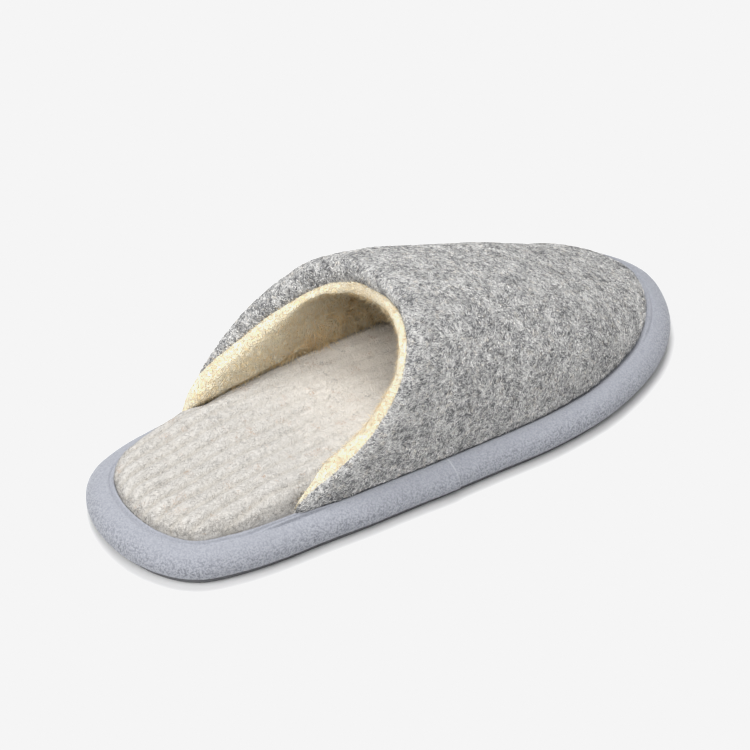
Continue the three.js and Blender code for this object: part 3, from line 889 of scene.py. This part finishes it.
PILE_FLUFF = ((13.0, 5.0, 1.3), (5.5, 2.0, 1.3), (2.6, 1.0, 0.6))
PILE_LEAN = (0.0, -0.45, -0.35)
PILE_SHORTEST = 0.38
PILE_CREASE_DEPTH, PILE_CREASE_WIDTH = 0.6, 1.5
PILE_SPARSER, PILE_HAIRS_THIN, PILE_HAIRS_END = 0.75, (55, 20), 95
NEST_RISE, NEST_SPREAD = 0.2, 1.15
FAR_SIDE = (0.52, 0.14)
FAR_ROLL_FOOT = 9.5
FAR_ROLL_DEPTH = 19.5
FAR_ROLL_FULL = 21.5
FAR_ROLL_LEAST = 1.5
FAR_ROLL_INSIDE = 10.5
FAR_ROLL_GROWS_OVER = 14.0
FAR_ROLL_RISE = (-1, 8)

# Along the foot, each as a start and a run: where the pile and its roll on the far side thin
# out, and where the roll passes into the plain pile.
PILE_THINS = (-65, 50)
FAR_ROLL_THINS = (-80, 70)
FAR_ROLL_ENDS = (-5, 35)


def lining_rows(arches):
    """Depth below the felt, place along the foot and distance from the edge, for rows that go
    round the band at the collar and on to the toe. Also where the band ends."""
    slant, thickness, place, _, _ = collar_edge(arches)
    band, first, front = (smooth(PILE, column, arches / math.pi) for column in ("band", "start", "front"))
    far_side = past(arches / math.pi, *FAR_SIDE)
    outward_reach = BAND_REACH / slant
    inward_reach = mix(BAND_REACH, PILE_ROLL, far_side) / slant
    band_end = place + front + inward_reach
    depths, places, from_edge = [], [], []
    for t in np.linspace(0, 1, BAND_ROWS):
        reach = outward_reach if t < 0.5 else inward_reach
        depths.append(mix(first * thickness, thickness + band, (1 - math.cos(math.pi * t)) / 2))
        places.append(place + front + reach * (1 - math.sin(math.pi * t)))
        from_edge.append((t - 0.5) * BAND_ARC + 0 * arches)
    full = mix(FELT_WALL + PILE_INSIDE, FAR_ROLL_FULL, far_side)
    grows_over = mix(PILE_GROWS_OVER, FAR_ROLL_GROWS_OVER, far_side)
    for q in (np.linspace(0, 1, WALL_ROWS + 1) ** WALL_CROWDING)[1:]:
        y = mix(band_end, INSIDE_TOE_Y - LINING_SHORT_OF_TOE, q)
        inwards = (y - band_end) * slant
        depths.append(mix(thickness + band, full, ease(inwards / grows_over)))
        places.append(y)
        from_edge.append(BAND_ARC / 2 + inwards)
    return np.array(depths), np.array(places), np.array(from_edge), band_end, first * thickness


def lining_room(arches, places, felt_depth):
    """How deep the pile may stand at each place: it nestles on the footbed's shoulder low down,
    and on the far side it forms a full roll over the footbed."""
    over_foot = felt_point(places, arches[None, :], FELT_WALL)[..., 2] - FOOT_Z
    side = np.where(arches < math.pi / 2, 1, -1)[None, :]
    puff = footbed_height((places - HEEL_Y) / SOLE_LENGTH, side) + NEST_RISE
    height = np.clip((over_foot - PILE_OVER_FOOTBED) / puff, 0, 1)
    nest = FELT_WALL + GAP + NEST_SPREAD * FOOTBED_SHOULDER * (1 - np.sqrt(1 - height**2))
    least = mix(PILE_LEAST_SHARE, PILE_LEAST_INSIDE, past(places, *PILE_THINS))
    bulge = FELT_WALL + PILE_BULGE * mix(least, 1, ease((over_foot - puff) / PILE_BULGES_OVER))
    most = mix(FAR_ROLL_DEPTH, FAR_ROLL_INSIDE, past(places, *FAR_ROLL_THINS))
    far_roll = mix(FAR_ROLL_FOOT, most, past(over_foot - puff, *FAR_ROLL_RISE))
    far_roll = np.maximum(far_roll, felt_depth + FAR_ROLL_LEAST)
    far_share = past(arches / math.pi, *FAR_SIDE) * (1 - past(places, *FAR_ROLL_ENDS))
    return np.minimum(np.where(height < 1, nest, np.inf), mix(bulge, far_roll, far_share))


def make_lining(material):
    """The pile inside the upper: a rounded band along the collar, then a thick soft wall."""
    arches = spaced_arches(LINING_COLUMNS)
    slant, thickness, place, start, along = collar_edge(arches)
    depths, places, from_edge, band_end, band_start_depth = lining_rows(arches)
    inner_edge = (places - place - start) * slant
    felt_depth = mix(FELT_WALL, thickness, 1 - ease(inner_edge / ROLLED_RIM_DEPTH))
    room = lining_room(arches, places, felt_depth)
    crease = PILE_CREASE_DEPTH * np.exp(-np.abs(depths - room) / PILE_CREASE_WIDTH)
    shown = np.minimum(depths, room) - crease
    points = felt_point(places, arches[None, :], shown)
    soft = past(shown, FELT_WALL, 4.0)
    soft[:2] = 0
    fluff = layered_relief(points, PILE_FLUFF) * mix(0.25, 1.0, past(from_edge, 2, 8))
    points = points + grid_normals(points) * (fluff * soft)[..., None]
    last = BAND_ROWS - 1
    back_depth, back_places = np.minimum(felt_depth, shown)[last:], places[last:].copy()
    back_depth[0], back_places[0] = band_start_depth, band_end
    back = felt_point(back_places, arches[None, :], back_depth - LINING_IN_FELT)[::-1]
    whole = np.concatenate([points, back])
    count, columns = whole.shape[:2]
    faces = grid_faces(count, columns)
    end = (count - 1) * columns
    faces += [(end + c, end + c + 1, c + 1, c) for c in range(columns - 1)]
    faces += side_faces(count, columns)
    distances = np.concatenate([from_edge, from_edge[last:][::-1]])
    layer = np.stack([distances, np.broadcast_to(along, distances.shape)], -1)
    obj = new_object("pile_lining", whole, faces, material, layer)
    merge_doubles(obj)
    dress(obj, "upper")
    comb = swirl(points, 5.5, 70.0) * 1.1 + PILE_LEAN
    cover = ease(from_edge / 2.0 + 2.2) * (1 - PILE_SPARSER * past(from_edge, *PILE_HAIRS_THIN))
    cover = cover * ease((PILE_HAIRS_END - from_edge) / 10)
    cover *= past(shown, FELT_WALL, 2.0)
    stature = mix(PILE_SHORTEST, 1.0, past(from_edge, 1.5, 6))
    finish = pile_fibre()
    for number in (1, 2):
        name = f"pile_fibres_{number}"
        tufts = fibres(name, points, unit(comb), cover, stature, finish, PILE_FIBRES, PILE_SEED + number)
        dress(tufts, "upper")


def ring(turns, inset, z):
    x, y = inset_point(turns, inset)
    return np.stack([x, y, z + 0 * x], -1)


def edge_distance(points, line):
    """The shortest way from each point to a closed line."""
    a, b = line, np.roll(line, -1, axis=0)
    run = ((b - a) ** 2).sum(1)
    least = np.full(len(points), 1e9)
    for i in range(len(a)):
        q = np.clip(((points - a[i]) @ (b[i] - a[i])) / run[i], 0, 1)
        least = np.minimum(least, np.hypot(*(points - a[i] - q[:, None] * (b[i] - a[i])).T))
    return least


FOOTBED_COUNT, FOOTBED_COLUMNS = 400, 176
FOOTBED_IN_POCKET = 0.4
EDGE_CROWDING = 0.35
RIB_SWAY = 0.8
RIB_HEEL, RIB_FADE = 1.6, 1.1
FUZZ_ENDS_Y, FUZZ_FADE = 60, 20
SPINE_HEEL = 50


def make_footbed(material):
    """A soft cushion with ribs from heel to toe and a full rounded edge."""
    count, columns = FOOTBED_COUNT, FOOTBED_COLUMNS
    turns = np.linspace(0, 2 * math.pi, count, endpoint=False)
    inset = RIM_WIDTH + FOOTBED_IN_POCKET
    rings = [
        ring(turns, inset + 0.4, POCKET_FLOOR_Z + 0.4), ring(turns, inset, POCKET_FLOOR_Z + 1.0),
        ring(turns, inset, SEAM_Z - 1.6), ring(turns, inset - 0.1, SEAM_Z - 0.6),
    ]
    edge = ring(turns, inset, 0)[:, :2]
    half = count // 2
    q = 0.5 - np.linspace(0, 1, columns + 1)
    q = 0.5 - 0.5 * np.sin(q * math.pi) * EDGE_CROWDING - q * (1 - EDGE_CROWDING)
    flat = np.array([edge[i] + (edge[count - i] - edge[i]) * q[1:-1, None] for i in range(1, half)])
    across = 1 - 2 * q[1:-1]
    share = (1 - np.cos(turns[1:half])) / 2
    distance = edge_distance(flat.reshape(-1, 2), edge).reshape(flat.shape[:2])
    margin = ease((share[:, None] - MARGIN_START - MARGIN_DELAY) / (MARGIN_END - MARGIN_START))
    inwards = distance - MARGIN_UNDER_UPPER * margin
    k = np.clip(inwards / FOOTBED_SHOULDER, 0, 1)
    shoulder = (1 - (1 - k) ** SHOULDER_FULLNESS) ** (1 / SHOULDER_FULLNESS)
    puff = footbed_height(share[:, None], across[None, :]) * shoulder
    stretched = np.stack([flat[..., 0] * 0.3, flat[..., 1], 0 * flat[..., 0]], -1)
    rib_place = flat[..., 0] - RIB_MIDDLE + relief(stretched, 24.0, 30.0) * RIB_SWAY
    wave = np.abs(np.cos(math.pi * rib_place / RIB_PITCH))
    depth = RIB_DEPTH * (RIB_HEEL - RIB_FADE * ease(share * 3.0))[:, None]
    ribs = depth * (1 - wave**0.9) * ease(inwards / 1.5)
    height = SEAM_Z - 0.5 + (puff + 0.5) * np.where(inwards > 0, 1, 0.9) - ribs
    top = np.concatenate([flat, height[..., None]], -1)
    lumps = relief(top, 6.0, 4.0) * 0.35 + relief(top * (1, 0.6, 1), 2.4, 9.0, octaves=2) * 0.16
    top[..., 2] += lumps * ease(inwards / 3.0)
    points = np.concatenate([*rings, top.reshape(-1, 3)])
    faces = grid_faces(4, count, True) + turned(ring_cap(list(range(count))))
    base, upper_ring = 4 * count, 3 * count
    width = columns - 1
    lines = [[upper_ring] * (columns + 1)]
    for i in range(1, half):
        inside = range(base + (i - 1) * width, base + i * width)
        lines.append([upper_ring + i, *inside, upper_ring + count - i])
    lines.append([upper_ring + half] * (columns + 1))
    for low, high in zip(lines, lines[1:]):
        for c in range(columns):
            quad = list(dict.fromkeys([low[c], high[c], high[c + 1], low[c + 1]]))
            if len(quad) > 2:
                faces.append(tuple(quad))
    layer = points[:, :2].copy()
    layer[base:, 0] = rib_place.ravel()
    obj = new_object("footbed_cushion", points, faces, material, layer)
    merge_doubles(obj)
    at_edge = 1 - past(inwards, 0.3, 3.5)
    spine = np.stack([0 * flat[..., 0] + MIDDLE_SHIFT, np.maximum(flat[..., 1], HEEL_Y + SPINE_HEEL)], -1)
    outward = np.concatenate([unit(flat - spine), 0.25 + 0 * flat[..., :1]], -1)
    comb = mix(np.array((0.2, -1.0, 0.0)), outward * 2.8, at_edge[..., None])
    stature = 1 + 0.5 * at_edge
    cover = ease((FUZZ_ENDS_Y - flat[..., 1]) / FUZZ_FADE) * (1 + 1.2 * at_edge)
    fuzz = fibres(
        "footbed_fibres", top[:, ::-1], comb[:, ::-1], cover[:, ::-1], stature[:, ::-1],
        wool_fibre(), WOOL_FIBRES, WOOL_SEED,
    )
    dress(fuzz, "footbed")
    return dress(obj, "footbed")


# The rim's cover. Places along the foot are a start and a run: where the small folds beside the
# collar start and end, where the groove shifts, and where the rim lies free of the felt.
RIM_COUNT = 720
LAP_STEPS = (-0.0012, -0.0004, 0.0004, 0.0012)
FOLDS_START, FOLDS_END = (-104, 12), (-62, 10)
FOLD_DEPTH, FOLD_PITCH = 0.5, 1.25
FOLD_FROM, FOLD_MIDDLE, FOLD_SPAN = 7.7, 8.6, 1.5
GROOVE_IN, GROOVE_NEARER_OUT = 9.3, 1.6
GROOVE_SHIFTS = (-118, 40)
GROOVE_DEPTH, GROOVE_WIDTH = 0.65, 0.45
BEAD_HEIGHT, BEAD_WIDTH, BEAD_BESIDE_GROOVE = 0.35, 0.8, 1.2
SEAM_TUCK, SEAM_TUCK_WIDTH = 1.8, 1.6
FREE_HEEL, FREE_TOE, FREE_INNER_SIDE = (-64, 12), (88, 22), 0.7
FINE_ANGLE = 1.05
RIM_SWELL = ((30.0, 6.0, 0.25),)
RIM_NAP = 0.1


def make_rim(material):
    """The padded rim with its wrapped cover, and the lap of the cover's end on the outer side."""
    lap_turn = math.acos(1 - 2 * LAP_FROM_HEEL)
    even_turns = np.linspace(0, 2 * math.pi, RIM_COUNT, endpoint=False)
    turns = np.sort(np.concatenate([even_turns, lap_turn + np.array(LAP_STEPS)]))
    _, y = outline_point(turns)
    lap_y = HEEL_Y + SOLE_LENGTH * LAP_FROM_HEEL
    lap = np.where((turns < lap_turn), LAP_THICKNESS * (1 - ease((lap_y - y) / LAP_FADE)), 0.0)
    rings = [ring(turns, RIM_LOWER_TUCK + 2.0, RIM_WIDEST_Z - RIM_LOWER_RISE)]
    for angle in np.linspace(math.pi / 2, 0, 9):
        out = RIM_LOWER_TUCK * (1 - math.cos(angle))
        z = RIM_WIDEST_Z - RIM_LOWER_RISE * math.sin(angle)
        rings.append(ring(turns, out - lap * math.cos(angle), z))
    outer_side = (turns < math.pi) * 1.0
    folds = past(y, *FOLDS_START) * ease((FOLDS_END[0] - y) / FOLDS_END[1]) * outer_side
    groove = GROOVE_IN - GROOVE_NEARER_OUT * past(y, *GROOVE_SHIFTS) * outer_side
    free_heel = ease((FREE_HEEL[0] - y) / FREE_HEEL[1])
    open_rim = np.clip(free_heel + past(y, *FREE_TOE) + (1 - outer_side) * FREE_INNER_SIDE, 0, 1)
    for angle in (*np.linspace(0, FINE_ANGLE, 14)[1:], *np.linspace(FINE_ANGLE, math.pi / 2, 26)[1:]):
        out = RIM_WIDTH * (1 - math.cos(angle))
        bead = BEAD_HEIGHT * hump(out - groove, BEAD_BESIDE_GROOVE, BEAD_WIDTH)
        bead = bead - GROOVE_DEPTH * hump(out - groove, 0, GROOVE_WIDTH)
        bead = bead * open_rim - SEAM_TUCK * (1 - open_rim) * hump(out, RIM_WIDTH, SEAM_TUCK_WIDTH)
        fold = math.cos(math.pi * 2 * (out - FOLD_FROM) / FOLD_PITCH)
        fold = FOLD_DEPTH * folds * fold * math.exp(-(((out - FOLD_MIDDLE) / FOLD_SPAN) ** 4))
        z = RIM_WIDEST_Z + RIM_UPPER_RISE * math.sin(angle) + bead - fold
        rings.append(ring(turns, out - lap * math.cos(angle), z))
    rings.append(ring(turns, RIM_WIDTH + 0.15, SEAM_Z - 0.8))
    rings.append(ring(turns, RIM_WIDTH + 0.15, POCKET_FLOOR_Z))
    points = np.array(rings)
    soft = layered_relief(points, RIM_SWELL) + relief(points, 1.1, 3.0, octaves=2) * RIM_NAP
    soft[[0, -2, -1]] = 0
    points = points - grid_normals(points, True) * soft[..., None]
    count, columns = points.shape[:2]
    faces = grid_faces(count, columns, True) + end_caps(count, columns)
    steps = np.linalg.norm(np.diff(points[1:-2], axis=0), axis=-1).mean(1)
    up = np.concatenate([[-2.0, 0.0], np.cumsum(steps), [sum(steps) + 1, sum(steps) + 6]])
    way = np.linalg.norm(points[5] - np.roll(points[5], 1, axis=0), axis=-1)
    way[0] = 0
    around = np.cumsum(way)
    from_lap = np.minimum(np.abs(around - np.interp(lap_turn, turns, around)), 30)
    shape = (count, columns)
    layer = np.stack([np.broadcast_to(from_lap, shape), np.broadcast_to(up[:, None], shape)], -1)
    obj = new_object("rim_and_platform", points, faces, material, layer)
    merge_doubles(obj)
    return dress(obj, "platform")


def make_outsole(material):
    turns = np.linspace(0, 2 * math.pi, FOOTBED_COUNT, endpoint=False)
    bevel = OUTSOLE_BEVEL
    points = np.array([
        ring(turns, OUTSOLE_INSET + bevel, 0.0), ring(turns, OUTSOLE_INSET + 0.15 * bevel, 0.15 * bevel),
        ring(turns, OUTSOLE_INSET, bevel), ring(turns, OUTSOLE_INSET, OUTSOLE_THICKNESS - bevel),
        ring(turns, OUTSOLE_INSET + bevel, OUTSOLE_THICKNESS),
    ])
    count, columns = points.shape[:2]
    faces = grid_faces(count, columns, True) + end_caps(count, columns)
    obj = new_object("outsole_sheet", points, faces, material)
    merge_doubles(obj)
    return dress(obj, "outsole")


# Studio
AZIMUTH, ELEVATION, ROLL = 49.89, 36.28, 0.46
DISTANCE_MM, FOCAL_PX = 715.9, 1820.8
AIM_MM = (-6.5, 1.0, 2.5)
AIM_PX, AIM_PY = 400.2, 401.7
PICTURE_PX = 750
PAPER_WHITE = 0.913
SENSOR_MM = 36.0
AIR_LIGHT = 0.27
FLOOR_REACH = 6.0
FLOOR_BELOW_SOLE = 0.0002
SOFTBOXES = {
    "heel_softbox": ((0.20, -1.05, 0.80), 0.9, 8.0),
    "front_softbox": ((0.62, -0.58, 1.18), 0.8, 11.0),
    "top_softbox": ((-0.25, 0.10, 1.4), 0.8, 15.0),
}


def photo_camera():
    """The camera at the photograph's angle: AIM_MM falls on the pixel (AIM_PX, AIM_PY)."""
    a, e, r = (math.radians(v) for v in (AZIMUTH, ELEVATION, ROLL))
    back = Vector((math.sin(a) * math.cos(e), -math.cos(a) * math.cos(e), math.sin(e)))
    right = Vector((math.cos(a), math.sin(a), 0.0))
    up = back.cross(right)
    place = Vector(AIM_MM) + back * DISTANCE_MM
    right, up = math.cos(r) * right + math.sin(r) * up, -math.sin(r) * right + math.cos(r) * up
    pan = math.atan((AIM_PX - PICTURE_PX / 2) / FOCAL_PX)
    tilt = math.atan((AIM_PY - PICTURE_PX / 2) / FOCAL_PX)
    right, back = math.cos(pan) * right - math.sin(pan) * back, math.sin(pan) * right + math.cos(pan) * back
    up, back = math.cos(tilt) * up + math.sin(tilt) * back, -math.sin(tilt) * up + math.cos(tilt) * back
    data = bpy.data.cameras.new("photo_camera")
    data.sensor_width, data.lens = SENSOR_MM, FOCAL_PX * SENSOR_MM / PICTURE_PX
    data.clip_start, data.clip_end = 0.05, 50.0
    camera = bpy.data.objects.new("photo_camera", data)
    turn = Matrix((right, up, back)).transposed().to_4x4()
    camera.matrix_world = Matrix.Translation(place * MM) @ turn
    bpy.context.scene.collection.objects.link(camera)
    bpy.context.scene.camera = camera


def soft_light(name, place, size, power):
    """A round softbox that faces the slipper: place and size in metres, power in watts."""
    data = bpy.data.lights.new(name, "AREA")
    data.shape, data.size, data.energy = "DISK", size, power
    light = bpy.data.objects.new(name, data)
    light.location = place
    light.rotation_euler = (-Vector(place)).to_track_quat("-Z", "Y").to_euler()
    bpy.context.scene.collection.objects.link(light)


def print_whites():
    """Plain colours, with the brightest tones held at the pale grey of the photograph's ground."""
    tones = bpy.context.scene.view_settings
    tones.view_transform = "Standard"
    tones.use_curve_mapping = True
    curve = tones.curve_mapping.curves[3]
    curve.points[0].location = (0.0, 0.0)
    curve.points[1].location = (1.0, PAPER_WHITE)
    knee = curve.points.new(PAPER_WHITE, PAPER_WHITE)
    for point in (curve.points[0], knee, curve.points[2]):
        point.handle_type = "VECTOR"
    tones.curve_mapping.update()


def studio():
    world = bpy.data.worlds.new("studio_air")
    bpy.context.scene.world = world
    world.use_nodes = True
    background = world.node_tree.nodes["Background"]
    background.inputs["Color"].default_value = (1.0, 1.0, 1.0, 1.0)
    background.inputs["Strength"].default_value = AIR_LIGHT
    print_whites()
    for name, (place, size, power) in SOFTBOXES.items():
        soft_light(name, place, size, power)
    mesh = bpy.data.meshes.new("floor")
    far, near = FLOOR_REACH, -FLOOR_REACH
    mesh.from_pydata([(near, near, 0), (far, near, 0), (far, far, 0), (near, far, 0)], [], [(0, 1, 2, 3)])
    floor = bpy.data.objects.new("floor", mesh)
    floor.location = (0, 0, -FLOOR_BELOW_SOLE)
    mesh.materials.append(studio_paper())
    bpy.context.scene.collection.objects.link(floor)


photo_camera()
studio()
make_felt_upper(grey_felt())
make_lining(cream_pile())
make_footbed(ribbed_wool())
make_rim(blue_grey_suede())
make_outsole(outsole_rubber())
